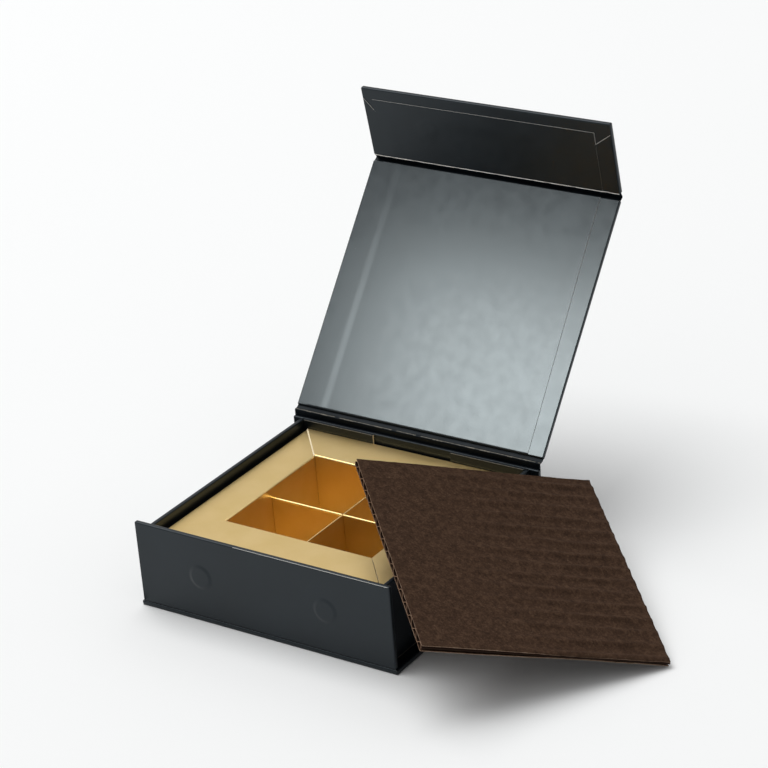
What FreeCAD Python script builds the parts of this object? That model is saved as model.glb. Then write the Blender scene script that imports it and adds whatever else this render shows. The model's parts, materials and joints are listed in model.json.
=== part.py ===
"""Fold-up gift box for chocolates, standing open.

Grey boards are wrapped in black laminated paper: base, front wall, back wall, lid and flap are one long
strip, and two side walls with folded ears are taped inside it. The lid hinges on the back wall and the
flap on the lid, where bare paper bridges a groove between two boards. Magnets in the flap meet magnets
in the front wall. A gold card tray with slotted dividers fills the case, and a corrugated pad that
covers it has been taken out and leans over the right wall, one corner on the table.

Millimetres, X to the right, Y to the back, Z up, the origin under the middle of the base.
Each panel of the strip is drawn flat, its outer face on z = 0, and its placement folds it up.
"""
import FreeCAD, Part
import Sketcher
import math
import os
import re

SIZES = {
    "panel_width": (120.0, "front, back, lid and flap, from left to right"),
    "box_depth": (110.4, "front face to back face"),
    "front_height": (37.4, "table to the top of the front wall"),
    "wall_drop": (2.2, "top of the side and back walls below the top of the front wall"),
    "board": (1.6, "thickness of the grey board"),
    "paper": (0.2, "thickness of wrap and lining paper"),
    "turn_in": (13.5, "width of the wrap that is turned in over an edge"),
    "base_proud_side": (0.7, "base beyond the panel ends"),
    "base_proud_end": (0.2, "base beyond the front and back faces"),
    "side_inset": (4.0, "side wall's outer face inside the panel ends"),
    "ear_length": (35.2, "length of an ear, from the side wall's inner face"),
    "ear_board": (0.6, "thickness of an ear's board"),
    "tape_margin": (4.0, "tape under an ear, in from the edges round it"),
    "fit_gap": (0.1, "clearance between glued or slid-in pieces"),
    "liner_inset": (6.5, "mean distance of a lid liner's side edge from the panel end"),
    "liner_shift": (1.5, "how far the lid and flap liners were pasted off centre"),
    "liner_margin": (5.0, "liner edge to a panel's free edge"),
    "lid_gap": (0.3, "closed lid above the front wall"),
    "lid_over": (4.0, "how far the shut lid's fold stands before the front face"),
    "lid_lean": (50.5, "rise of the open lid from level, degrees"),
    "groove": (2.2, "fold line to the edge of the board beside it"),
    "flap_length": (34.8, "fold to the flap's free edge"),
    "flap_fold": (50.0, "flap turned in from the plane of the lid, degrees"),
    "magnet_radius": (5.0, "disc magnet"),
    "magnet_thickness": (1.2, "disc magnet"),
    "magnet_spread": (59.0, "between the two magnets' centres"),
    "magnet_height": (19.9, "table to the front magnets' centres"),
    "mark_rise": (0.25, "height of the mark that a magnet raises on the front"),
    "mark_edge": (0.8, "width of that mark's sloping edge"),
    "tray_card": (0.5, "thickness of the gold card"),
    "tray_side_gap": (1.9, "tray's skirt to a side wall"),
    "tray_front_gap": (2.7, "tray's skirt to the front ears, with the tray pushed to the back"),
    "rim_drop": (3.8, "tray's rim below the top of the walls"),
    "rim_side": (17.5, "width of the rim at the left and the right"),
    "rim_end": (19.8, "width of the rim at the front and the back"),
    "mitre_slit": (0.3, "gap between two rim flaps along the mitre"),
    "divider_card": (0.6, "thickness of a divider"),
    "divider_drop": (4.2, "divider's top edge below the rim"),
    "pad_side_gap": (0.75, "cover pad to a side wall, when it lies in the case"),
    "pad_end_gap": (1.9, "cover pad to an ear, when it lies in the case"),
    "pad_liner": (0.3, "pad's face and back papers"),
    "flute_height": (2.3, "between the pad's papers"),
    "flute_pitch": (7.2, "crest to crest"),
    "flute_paper": (0.25, "thickness of the fluting"),
    "pad_touch_y": (44.0, "where the pad lies on the right wall's outer top edge, from the middle"),
    "pad_touch_along": (30.5, "where the wall meets the pad's high edge, from that edge's near corner"),
    "pad_rest_gap": (0.2, "clearance of the pad over the wall and the table"),
    "pad_swing": (28.0, "pad's low corner from there, towards the front, degrees"),
    "pad_roll": (13.7, "pad turned about its line of support, degrees"),
}

# Derived places, as formulas of the sheet's names
STACK = "(board + 2 * paper)"
FULL = "(board + 3 * paper)"
AXIS_Y = "(box_depth / 2)"
AXIS_Z = "(front_height + lid_gap)"
WALL_HEIGHT = "(front_height - wall_drop)"
HINGE_PAPER = "(2 * paper)"
WALL_OUTER = "(panel_width / 2 - side_inset)"
WALL_INNER = f"({WALL_OUTER} - {STACK})"
EAR_STACK = "(ear_board + 2 * paper)"
EAR_OUTER = f"(box_depth / 2 - {FULL} - fit_gap)"
EAR_INNER = f"({EAR_OUTER} - {EAR_STACK})"
EAR_END = f"({WALL_INNER} - ear_length)"
FLOOR = f"({STACK} + paper)"
LID_LENGTH = "(box_depth + lid_over)"
TRAY_WIDTH = f"(2 * {WALL_INNER} - 2 * tray_side_gap)"
TRAY_DEPTH = f"(2 * {EAR_INNER} - tray_front_gap - fit_gap)"
TRAY_HEIGHT = f"({WALL_HEIGHT} - rim_drop - {FLOOR})"
TRAY_Y = "((tray_front_gap - fit_gap) / 2)"
OPENING_WIDTH = f"({TRAY_WIDTH} - 2 * rim_side)"
OPENING_DEPTH = f"({TRAY_DEPTH} - 2 * rim_end)"
DIVIDER_HEIGHT = f"({TRAY_HEIGHT} - tray_card - divider_drop)"
DIVIDER_SLOT = "(divider_card / 2 + fit_gap)"
PAD_ACROSS = f"(2 * {WALL_INNER} - 2 * pad_side_gap)"
PAD_ALONG = f"(2 * {EAR_INNER} - 2 * pad_end_gap)"
PAD_TOP = "(pad_liner + flute_height)"

# How each panel of the strip stands: y and z of its own origin, and its turn about X
BASE_FRAME = ("0", "0", "0")
FRONT_FRAME = ("-box_depth / 2", STACK, "-90")
BACK_FRAME = ("box_depth / 2", STACK, "90")
LID_FRAME = (f"{AXIS_Y} + {FULL} * sin(lid_lean)", f"{AXIS_Z} - {FULL} * cos(lid_lean)", "lid_lean")
FLAP_FRAME = (
    f"{LID_FRAME[0]} + {LID_LENGTH} * cos(lid_lean)",
    f"{LID_FRAME[1]} + {LID_LENGTH} * sin(lid_lean)",
    "lid_lean + flap_fold",
)

doc = FreeCAD.newDocument("ChocolateBox")
sheet = doc.addObject("Spreadsheet::Sheet", "Sizes")
for row, (alias, (value, note)) in enumerate(SIZES.items(), start=1):
    sheet.set(f"A{row}", note)
    sheet.set(f"B{row}", str(value))
    sheet.setAlias(f"B{row}", alias)
doc.recompute()
finished = []


def size(alias):
    """A number from the sheet, for the few shapes that are worked out in code."""
    return float(getattr(sheet, alias))


def formula(text):
    """The text with the sheet's name before each of its aliases."""
    return re.sub(r"[a-z_]+", lambda word: f"Sizes.{word[0]}" if word[0] in SIZES else word[0], text)


def bind(obj, prop, text):
    obj.setExpression(prop, formula(text))


def subpart(obj, label):
    """Names a finished piece and puts it on the list to be written."""
    obj.Label = label
    finished.append(obj)
    return obj


def place(obj, frame):
    """Turns a piece about X and moves it, as its panel's frame says."""
    y, z, turn = frame
    bind(obj, "Placement", f"placement(vector(0; {y}; {z}); rotation(vector(1; 0; 0); {turn}))")
    return obj


# Building blocks


def box(name, x, y, z):
    """A box between low and high formulas along each axis."""
    obj = doc.addObject("Part::Box", name)
    for prop, axis, (low, high) in zip(("Length", "Width", "Height"), "xyz", (x, y, z)):
        bind(obj, prop, f"({high}) - ({low})")
        bind(obj, f"Placement.Base.{axis}", low)
    return obj


def fused(name, *shapes):
    obj = doc.addObject("Part::MultiFuse", name)
    obj.Shapes = shapes
    return obj


def cut(name, base, *tools):
    obj = doc.addObject("Part::Cut", name)
    obj.Base = base
    obj.Tool = fused(f"{name}_tools", *tools) if len(tools) > 1 else tools[0]
    return obj


def body_sketch(body, name, plane, level):
    """An empty sketch on one of the body's own planes, raised by a formula."""
    sketch = body.newObject("Sketcher::SketchObject", name)
    support = [feature for feature in body.Origin.OriginFeatures if feature.Role == plane]
    sketch.AttachmentSupport = (support[0], [""])
    sketch.MapMode = "FlatFace"
    bind(sketch, "AttachmentOffset.Base.z", level)
    return sketch


def pin_point(sketch, line, end, x, y):
    """Holds one end of a line, or a circle's centre, at formulas from the sketch's origin."""
    for kind, text in (("DistanceX", x), ("DistanceY", y)):
        number = sketch.addConstraint(Sketcher.Constraint(kind, -1, 1, line, end, 1.0))
        bind(sketch, f"Constraints[{number}]", text)


def draw_loop(sketch, corners):
    """A closed run of lines whose corners are formulas. It starts as a small ring in the same order."""
    first = sketch.GeometryCount
    count = len(corners)
    turns = [2 * math.pi * index / count for index in range(count)]
    ring = [FreeCAD.Vector(math.cos(turn), math.sin(turn), 0) for turn in turns]
    for index in range(count):
        sketch.addGeometry(Part.LineSegment(ring[index], ring[(index + 1) % count]), False)
    for index in range(count):
        following = first + (index + 1) % count
        sketch.addConstraint(Sketcher.Constraint("Coincident", first + index, 2, following, 1))
    for index, (x, y) in enumerate(corners):
        pin_point(sketch, first + index, 1, x, y)


def draw_circle(sketch, x, y, radius):
    circle = sketch.addGeometry(Part.Circle(FreeCAD.Vector(), FreeCAD.Vector(0, 0, 1), 1.0), False)
    pin_point(sketch, circle, 3, x, y)
    number = sketch.addConstraint(Sketcher.Constraint("Radius", circle, 1.0))
    bind(sketch, f"Constraints[{number}]", radius)


def rectangle(x, y):
    """Corners of a rectangle between low and high formulas."""
    return [(x[0], y[0]), (x[1], y[0]), (x[1], y[1]), (x[0], y[1])]


def centred(half_x, half_y):
    return rectangle((f"-({half_x})", half_x), (f"-({half_y})", half_y))


def pad(body, name, loops, length, level="0", plane="XY_Plane", both_ways=False):
    """Raises closed loops of corners by a length."""
    sketch = body_sketch(body, f"{name}_outline", plane, level)
    for corners in loops:
        draw_loop(sketch, corners)
    feature = body.newObject("PartDesign::Pad", name)
    feature.Profile = sketch
    if both_ways:
        feature.SideType = "Symmetric"
    bind(feature, "Length", length)
    return feature


def pocket(body, sketch, name, depth, upward):
    feature = body.newObject("PartDesign::Pocket", name)
    feature.Profile = sketch
    feature.Reversed = upward
    bind(feature, "Length", depth)
    return feature


def mirrored(text):
    """The left and the right formula of something that stands at both sides."""
    return (f"-({text})", text)


def span(side, near, far):
    """Low and high formulas between two distances from the middle, on one side of it."""
    return (near, far) if side > 0 else (f"-({far})", f"-({near})")


# Panels of the strip


def panel_board(name, x, y):
    """The grey board inside a panel, in by the wrap's thickness all round."""
    body = doc.addObject("PartDesign::Body", f"{name}_board")
    inner_x = (f"{x[0]} + paper", f"{x[1]} - paper")
    inner_y = (f"{y[0]} + paper", f"{y[1]} - paper")
    pad(body, f"{name}_sheet", [rectangle(inner_x, inner_y)], "board", level="paper")
    return body


def panel_wrap(name, x, y, window):
    """The wrap: outer sheet, edges and the strips turned in round an open window."""
    block = box(f"{name}_block", x, y, ("0", STACK))
    core_x = (f"{x[0]} + paper", f"{x[1]} - paper")
    core_y = (f"{y[0]} + paper", f"{y[1]} - paper")
    core = box(f"{name}_core", core_x, core_y, ("paper", "paper + board"))
    return cut(f"{name}_wrap", block, core, box(f"{name}_window", *window, ("paper + board", STACK)))


def panel_liner(name, liner, window, recess):
    """The lining paper: it fills the window and steps up over the turned-in strips."""
    fill = box(f"{name}_fill", *window, ("paper + board", STACK))
    sheet_box = box(f"{name}_cover", *liner, (STACK, FULL))
    dip = box(f"{name}_dip", *recess, (STACK, FULL))
    return cut(f"{name}_liner", fused(f"{name}_lining", fill, sheet_box), dip)


def panel(name, half_width, y, free, liner, frame):
    """Board, wrap and liner of a panel from y[0] to y[1]. An end marked free has its wrap turned in."""
    x = mirrored(half_width)
    window_y = [f"{y[0]} + turn_in" if free[0] else y[0], f"{y[1]} - turn_in" if free[1] else y[1]]
    recess_y = [f"{window_y[0]} + paper" if free[0] else y[0], f"{window_y[1]} - paper" if free[1] else y[1]]
    window = (mirrored(f"{half_width} - turn_in"), window_y)
    recess = (mirrored(f"{half_width} - turn_in - paper"), recess_y)
    board_body = place(panel_board(name, x, y), frame)
    wrap = place(panel_wrap(name, x, y, window), frame)
    lining = place(panel_liner(name, liner, window, recess), frame)
    subpart(board_body, f"{name}_board")
    subpart(lining, f"{name}_liner")
    return board_body, wrap


def magnet_pockets(body, name, y, level, upward):
    """Two round pockets for magnets in a panel's board."""
    sketch = body_sketch(body, f"{name}_magnet_circles", "XY_Plane", level)
    for x in mirrored("magnet_spread / 2"):
        draw_circle(sketch, x, y, "magnet_radius + fit_gap")
    pocket(body, sketch, f"{name}_magnet_pockets", "magnet_thickness", upward)


def magnets(name, y, level, frame):
    """The two discs of a panel, flush with their board's face."""
    discs = []
    for side, x in zip(("left", "right"), mirrored("magnet_spread / 2")):
        disc = doc.addObject("Part::Cylinder", f"{name}_{side}_magnet")
        bind(disc, "Radius", "magnet_radius")
        bind(disc, "Height", "magnet_thickness")
        bind(disc, "Placement", f"placement(vector({x}; {y}; {level}); rotation(vector(1; 0; 0); 0))")
        discs.append(disc)
    subpart(place(fused(f"{name}_magnet_pair", *discs), frame), f"{name}_magnets")


def magnet_marks(name, y):
    """Low round marks on a panel's outer face, where the magnets press through."""
    marks = []
    for side, x in zip(("left", "right"), mirrored("magnet_spread / 2")):
        mark = doc.addObject("Part::Cone", f"{name}_{side}_mark")
        bind(mark, "Radius1", "magnet_radius")
        bind(mark, "Radius2", "magnet_radius + mark_edge")
        bind(mark, "Height", "mark_rise")
        bind(mark, "Placement", f"placement(vector({x}; {y}; -mark_rise); rotation(vector(1; 0; 0); 0))")
        marks.append(mark)
    return marks


def build_case():
    """Base, front and back: their boards and liners, one wrap, and the front's magnets."""
    floor_x = mirrored(f"{WALL_INNER} - fit_gap")
    floor_y = mirrored(f"{EAR_INNER} - fit_gap")
    base_y = mirrored("box_depth / 2 + base_proud_end")
    base_half = "panel_width / 2 + base_proud_side"
    wall_x = mirrored("panel_width / 2 - liner_margin")
    front_y = (f"{STACK} - front_height", "0")
    front_liner_y = (f"{front_y[0]} + liner_margin", "0")
    back_y = ("0", f"{WALL_HEIGHT} - {STACK}")
    _, base_wrap = panel("base", base_half, base_y, (True, True), (floor_x, floor_y), BASE_FRAME)
    front = panel("front", "panel_width / 2", front_y, (True, False), (wall_x, front_liner_y), FRONT_FRAME)
    _, back_wrap = panel("back", "panel_width / 2", back_y, (False, False), (wall_x, back_y), BACK_FRAME)
    front_board, front_wrap = front
    magnet_y = f"{STACK} - magnet_height"
    magnet_pockets(front_board, "front", magnet_y, "paper", True)
    magnets("front", magnet_y, "paper", FRONT_FRAME)
    marks = place(fused("front_marks", *magnet_marks("front", magnet_y)), FRONT_FRAME)
    subpart(fused("strip_wrap", base_wrap, front_wrap, back_wrap, marks), "case_wrap")


def build_lid():
    liner_x = ("liner_inset - liner_shift - panel_width / 2", "panel_width / 2 - liner_inset - liner_shift")
    y = ("groove", f"{LID_LENGTH} - groove")
    _, wrap = panel("lid", "panel_width / 2", y, (False, False), (liner_x, y), LID_FRAME)
    subpart(wrap, "lid_wrap")


def build_flap():
    liner_x = ("liner_inset - liner_shift - panel_width / 2", "panel_width / 2 - liner_inset - liner_shift")
    y = ("groove", "flap_length")
    liner_y = ("groove", "flap_length - liner_margin")
    board_body, wrap = panel("flap", "panel_width / 2", y, (False, True), (liner_x, liner_y), FLAP_FRAME)
    subpart(wrap, "flap_wrap")
    # Shut, the flap hangs from the lid's outer face, and its magnets meet the front wall's
    magnet_y = f"{AXIS_Z} + {FULL} - magnet_height"
    magnet_pockets(board_body, "flap", magnet_y, "paper + board", False)
    magnets("flap", magnet_y, "paper + board - magnet_thickness", FLAP_FRAME)


def build_hinge_papers():
    """Wrap and liner pasted together in the two grooves: a section drawn out to the panels' width."""
    back_hinge = doc.addObject("PartDesign::Body", "back_hinge_strip")
    along_y = f"{AXIS_Y} + groove * cos(lid_lean)"
    along_z = f"{AXIS_Z} + groove * sin(lid_lean)"
    section = [
        (AXIS_Y, WALL_HEIGHT),
        (AXIS_Y, f"{AXIS_Z} - {HINGE_PAPER} / cos(lid_lean)"),
        (f"{along_y} + {HINGE_PAPER} * sin(lid_lean)", f"{along_z} - {HINGE_PAPER} * cos(lid_lean)"),
        (along_y, along_z),
        (f"{AXIS_Y} - {HINGE_PAPER}", f"{AXIS_Z} - {HINGE_PAPER} * tan(lid_lean)"),
        (f"{AXIS_Y} - {HINGE_PAPER}", WALL_HEIGHT),
    ]
    pad(back_hinge, "back_hinge_paper", [section], "panel_width", plane="YZ_Plane", both_ways=True)
    subpart(back_hinge, "lid_hinge_paper")
    flap_hinge = doc.addObject("PartDesign::Body", "flap_hinge_strip")
    along_y = f"{LID_LENGTH} + groove * cos(flap_fold)"
    along_z = "groove * sin(flap_fold)"
    section = [
        (f"{LID_LENGTH} - groove", "0"),
        (LID_LENGTH, "0"),
        (along_y, along_z),
        (f"{along_y} - {HINGE_PAPER} * sin(flap_fold)", f"{along_z} + {HINGE_PAPER} * cos(flap_fold)"),
        (f"{LID_LENGTH} - {HINGE_PAPER} * tan(flap_fold / 2)", HINGE_PAPER),
        (f"{LID_LENGTH} - groove", HINGE_PAPER),
    ]
    pad(flap_hinge, "flap_hinge_strip_paper", [section], "panel_width", plane="YZ_Plane", both_ways=True)
    subpart(place(flap_hinge, LID_FRAME), "flap_hinge_paper")


# Side walls


def build_side_wall(name, side):
    """A side wall, its two ears and the paper sleeve over the three, open below and at the ears' ends."""
    wall_y = mirrored(EAR_OUTER)
    foot = f"{STACK} + fit_gap"
    top = f"{WALL_HEIGHT} - paper"
    sleeve = [box(f"{name}_wall_block", span(side, WALL_INNER, WALL_OUTER), wall_y, (STACK, WALL_HEIGHT))]
    core_x = span(side, f"{WALL_INNER} + paper", f"{WALL_OUTER} - paper")
    core_y = mirrored(f"{EAR_OUTER} - paper")
    cores = [box(f"{name}_side_core", core_x, core_y, (STACK, top))]
    subpart(box(f"{name}_side_board", core_x, core_y, (STACK, top)), f"{name}_board")
    for end, direction in (("front", -1), ("back", 1)):
        block_x = span(side, EAR_END, WALL_INNER)
        sleeve_y = span(direction, EAR_INNER, EAR_OUTER)
        sleeve.append(box(f"{end}_{name}_ear_block", block_x, sleeve_y, (foot, WALL_HEIGHT)))
        ear_x = span(side, EAR_END, f"{WALL_INNER} - paper")
        ear_y = span(direction, f"{EAR_INNER} + paper", f"{EAR_OUTER} - paper")
        cores.append(box(f"{end}_{name}_ear_core", ear_x, ear_y, (foot, top)))
        subpart(box(f"{end}_{name}_ear_board", ear_x, ear_y, (foot, top)), f"{end}_{name}_ear")
    inside = fused(f"{name}_cores", *cores)
    subpart(cut(f"{name}_sleeve", fused(f"{name}_blocks", *sleeve), inside), f"{name}_wall_wrap")


def build_tapes():
    """Double-sided tape between each ear and the lining of the wall that it lies on."""
    window_x = "panel_width / 2 - turn_in - paper"
    window_z = "front_height - turn_in - paper"
    strips = []
    for name, side, direction in (("fl", -1, -1), ("fr", 1, -1), ("bl", -1, 1), ("br", 1, 1)):
        x = span(side, f"{EAR_END} + tape_margin", f"{window_x} - tape_margin")
        y = span(direction, EAR_OUTER, f"box_depth / 2 - {STACK}")
        z = (f"{STACK} + tape_margin", f"{window_z} - tape_margin")
        strips.append(box(f"tape_{name}", x, y, z))
    subpart(fused("tape_strips", *strips), "ear_tapes")


# Gold insert


def build_tray():
    """Floor and cell walls, a wide rim in four flaps with mitred corners, and skirts down to the base."""
    body = doc.addObject("PartDesign::Body", "gold_tray")
    opening_x, opening_y = f"{OPENING_WIDTH} / 2", f"{OPENING_DEPTH} / 2"
    outer_x, outer_y = f"{TRAY_WIDTH} / 2", f"{TRAY_DEPTH} / 2"
    opening = centred(opening_x, opening_y)
    walls = centred(f"{opening_x} + tray_card", f"{opening_y} + tray_card")
    outside = centred(outer_x, outer_y)
    inside = centred(f"{outer_x} - tray_card", f"{outer_y} - tray_card")
    pad(body, "tray_floor", [walls], "tray_card")
    pad(body, "tray_walls", [walls, opening], TRAY_HEIGHT)
    pad(body, "tray_rim", [outside, opening], "tray_card", level=f"{TRAY_HEIGHT} - tray_card")
    pad(body, "tray_skirts", [outside, inside], TRAY_HEIGHT)
    slits = body_sketch(body, "tray_mitre_outline", "XY_Plane", TRAY_HEIGHT)
    for x_side in ("", "-"):
        for y_side in ("", "-"):
            slit = [
                (f"{opening_x} - mitre_slit / 2", opening_y),
                (opening_x, f"{opening_y} - mitre_slit / 2"),
                (f"{outer_x} + mitre_slit / 2", outer_y),
                (outer_x, f"{outer_y} + mitre_slit / 2"),
            ]
            draw_loop(slits, [(f"{x_side}({x})", f"{y_side}({y})") for x, y in slit])
    pocket(body, slits, "tray_mitres", "tray_card", False)
    bind(body, "Placement.Base.y", TRAY_Y)
    bind(body, "Placement.Base.z", FLOOR)
    subpart(body, "tray")


def build_divider(label, plane, half_length, notch_from_top):
    """A card strip across the opening, with a slot half its height for the other strip."""
    height, slot = DIVIDER_HEIGHT, DIVIDER_SLOT
    middle = f"{height} / 2"
    if notch_from_top:
        bottom = []
        top = [(slot, height), (slot, middle), (f"-{slot}", middle), (f"-{slot}", height)]
    else:
        above = f"{middle} + fit_gap"
        bottom = [(f"-{slot}", "0"), (f"-{slot}", above), (slot, above), (slot, "0")]
        top = []
    low = [(f"-({half_length})", "0"), *bottom, (half_length, "0")]
    high = [(half_length, height), *top, (f"-({half_length})", height)]
    body = doc.addObject("PartDesign::Body", f"{label}_strip")
    pad(body, f"{label}_card", [low + high], "divider_card", plane=plane, both_ways=True)
    bind(body, "Placement.Base.y", TRAY_Y)
    bind(body, "Placement.Base.z", f"{FLOOR} + tray_card")
    subpart(body, label)


# Cover pad


def pad_placement(across):
    """The pad's low corner stands on the table, and its high edge lies on the right wall's top edge."""
    along = size("pad_touch_along")
    rise = size("front_height") - size("wall_drop")
    reach = math.sqrt(across ** 2 + along ** 2 - rise ** 2)
    swing = math.radians(size("pad_swing"))
    wall_x = size("panel_width") / 2 - size("side_inset")
    rest_gap = size("pad_rest_gap")
    touch = FreeCAD.Vector(wall_x, size("pad_touch_y"), rise + rest_gap)
    low = touch + FreeCAD.Vector(reach * math.cos(swing), -reach * math.sin(swing), -rise)
    slope = (touch - low).normalize()
    level = FreeCAD.Vector(0, 0, 1).cross(slope).normalize()
    support = FreeCAD.Rotation(slope, level, slope.cross(level), "XYZ")
    roll = FreeCAD.Rotation(slope, size("pad_roll"))
    spin = FreeCAD.Rotation(FreeCAD.Vector(0, 0, 1), -math.degrees(math.atan2(along, across)))
    return FreeCAD.Placement(low, roll * support * spin)


def fluting_shape(room):
    """A wave of equal tangent arcs, one crest and one trough for each flute, thickened and drawn out."""
    across = room.Length.Value
    half_paper = size("flute_paper") / 2
    count = max(1, round(across / size("flute_pitch")))
    quarter = across / count / 4
    swing = (size("flute_height") - 2 * half_paper) / 2
    radius = (quarter ** 2 + swing ** 2) / (2 * swing)
    turn = math.asin(quarter / radius)
    middle = size("pad_liner") + size("flute_height") / 2

    def arc(index, reach):
        """Half a wave, its ends and its middle, at a distance above the wave's centre line."""
        up = 1 if index % 2 == 0 else -1
        centre_x = quarter * (2 * index + 1)
        centre_z = middle + up * (swing - radius)
        spread = radius + up * reach
        angles = (-turn, 0.0, turn)
        points = [(math.sin(angle), up * math.cos(angle)) for angle in angles]
        return [FreeCAD.Vector(centre_x + spread * x, 0, centre_z + spread * z) for x, z in points]

    above = [arc(index, half_paper) for index in range(2 * count)]
    below = [arc(index, -half_paper) for index in range(2 * count)]
    edges = [Part.Arc(*points).toShape() for points in above]
    edges.append(Part.LineSegment(above[-1][2], below[-1][2]).toShape())
    edges += [Part.Arc(*reversed(points)).toShape() for points in reversed(below)]
    edges.append(Part.LineSegment(below[0][0], above[0][0]).toShape())
    section = Part.Face(Part.Wire(edges))
    wave = section.extrude(FreeCAD.Vector(0, room.Width.Value, 0))
    return wave.common(room.Shape).Solids[0]


def build_cover_pad():
    room = box("fluting_room", ("0", PAD_ACROSS), ("0", PAD_ALONG), ("pad_liner", PAD_TOP))
    doc.recompute()
    pose = pad_placement(room.Length.Value)
    sheet_corners = rectangle(("0", PAD_ACROSS), ("0", PAD_ALONG))
    for label, level in (("pad_back", "0"), ("pad_face", PAD_TOP)):
        body = doc.addObject("PartDesign::Body", f"{label}_paper")
        pad(body, f"{label}_sheet", [sheet_corners], "pad_liner", level=level)
        body.Placement = pose
        subpart(body, label)
    fluting = doc.addObject("Part::Feature", "pad_fluting_paper")
    fluting.Shape = fluting_shape(room)
    fluting.Placement = pose
    subpart(fluting, "pad_fluting")


def check_and_write():
    """Stops at a failed or broken shape, then writes one STEP file for each sub-part."""
    for obj in doc.Objects:
        if "Invalid" in obj.State or "Error" in obj.State:
            raise RuntimeError(f"{obj.Label} failed: {obj.State}")
    os.makedirs("parts", exist_ok=True)
    for obj in finished:
        if obj.Shape.isNull() or not obj.Shape.isValid():
            raise RuntimeError(f"{obj.Label} has no valid shape")
    for obj in finished:
        obj.Shape.exportStep(f"parts/{obj.Label}.step")
        print(f"{obj.Label}: {len(obj.Shape.Solids)} solid(s), {obj.Shape.Volume:.1f} mm3")


build_case()
build_lid()
build_flap()
build_hinge_papers()
build_side_wall("left", -1)
build_side_wall("right", 1)
build_tapes()
build_tray()
build_divider("divider_long", "XZ_Plane", f"{OPENING_WIDTH} / 2 - fit_gap", True)
build_divider("divider_cross", "YZ_Plane", f"{OPENING_DEPTH} / 2 - fit_gap", False)
build_cover_pad()
doc.recompute()
check_and_write()
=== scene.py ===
"""Looks of the fold-up chocolate box: black laminated paper over board, gold card tray, corrugated pad.

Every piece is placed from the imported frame, in metres, X to the right, Y to the back, Z up.
"""
import json
import math

import bmesh
import bpy
from mathutils import Matrix, Vector, noise


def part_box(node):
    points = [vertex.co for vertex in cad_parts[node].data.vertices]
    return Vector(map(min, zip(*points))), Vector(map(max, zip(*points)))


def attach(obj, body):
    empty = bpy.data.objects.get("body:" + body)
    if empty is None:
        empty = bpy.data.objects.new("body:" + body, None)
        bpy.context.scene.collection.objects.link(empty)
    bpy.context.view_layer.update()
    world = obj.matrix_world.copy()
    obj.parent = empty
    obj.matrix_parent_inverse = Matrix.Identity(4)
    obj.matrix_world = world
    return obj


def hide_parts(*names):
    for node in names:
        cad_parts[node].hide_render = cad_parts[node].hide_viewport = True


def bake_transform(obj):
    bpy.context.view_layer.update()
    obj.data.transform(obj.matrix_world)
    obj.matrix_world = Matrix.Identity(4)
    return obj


MM = 0.001
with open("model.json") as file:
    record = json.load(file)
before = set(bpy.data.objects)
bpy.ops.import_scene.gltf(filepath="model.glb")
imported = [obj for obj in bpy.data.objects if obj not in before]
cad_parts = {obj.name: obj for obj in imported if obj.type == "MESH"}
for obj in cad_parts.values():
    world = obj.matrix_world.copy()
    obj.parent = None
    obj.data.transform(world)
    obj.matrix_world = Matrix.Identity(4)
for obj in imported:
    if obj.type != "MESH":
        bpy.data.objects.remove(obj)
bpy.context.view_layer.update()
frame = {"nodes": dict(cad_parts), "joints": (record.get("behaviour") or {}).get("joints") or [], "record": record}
scene = bpy.context.scene

# Sizes that the frame doesn't give by itself
PAPER = 0.2 * MM
CARD = 0.5 * MM
EDGE_ROUND = 0.55 * MM
FLUTE_PITCH = 7.2 * MM
# Half the space between the side turn-ins that lie under the linings of lid and flap
TURN_IN_EDGE = 46.5 * MM
# How far in from the corner the middle of a quarter round lies, as a share of its radius
ROUND_MIDDLE = 0.293
# Folds sharper than this stay crisp in the shading
SHARP_ANGLE = math.radians(50)
# Points nearer than this to a cutting plane count as on it, and so near to each other as one
SLIVER = 1e-7
SAME_PLACE = 1e-6
UP = Vector((0, 0, 1))


# Frames of the panels and of the pad


def joint(name):
    """A joint of the frame by its name."""
    return next(entry for entry in frame["joints"] if entry["name"] == name)


def local_box(node, place):
    """Lowest and highest corner of a CAD node, seen in another frame."""
    back = place.inverted()
    points = [back @ vertex.co for vertex in frame["nodes"][node].data.vertices]
    low = Vector(min(point[axis] for point in points) for axis in range(3))
    high = Vector(max(point[axis] for point in points) for axis in range(3))
    return low, high


LID_LEAN = math.radians(180 - joint("lid_hinge")["range_deg"][1])
FLAP_FOLD = math.radians(-joint("flap_hinge")["range_deg"][0])
HINGE = Vector(joint("lid_hinge")["pos_m"])
FOLD = Vector(joint("flap_hinge")["pos_m"])
# Lid: y runs from the hinge to the fold, z out of its inner face. Flap: z = 0 on its outer face
LID_PLACE = Matrix.Translation(HINGE) @ Matrix.Rotation(LID_LEAN, 4, "X")
FLAP_PLACE = Matrix.Translation(FOLD) @ Matrix.Rotation(LID_LEAN + FLAP_FOLD, 4, "X")


def pad_place():
    """Pad: the low corner of its underside, x across the flutes, y along them, z out of its face."""
    points = {tuple(round(c, 7) for c in vertex.co) for vertex in frame["nodes"]["pad_back"].data.vertices}
    corners = [Vector(point) for point in points]
    low = min(corners, key=lambda corner: corner.z)
    # By distance: the low corner, the one over it, two along the flutes, and two across them
    corners.sort(key=lambda corner: (corner - low).length)
    along = (corners[2] - low).normalized()
    across = (corners[4] - low).normalized()
    axes = Matrix((across, along, across.cross(along))).transposed().to_4x4()
    return Matrix.Translation(low) @ axes


PAD_PLACE = pad_place()


# Materials


def linear(colour):
    """A linear RGBA colour from an sRGB hex value."""
    parts = [int(colour[index:index + 2], 16) / 255 for index in (1, 3, 5)]
    return tuple(c / 12.92 if c <= 0.04045 else ((c + 0.055) / 1.055) ** 2.4 for c in parts) + (1.0,)


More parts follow.
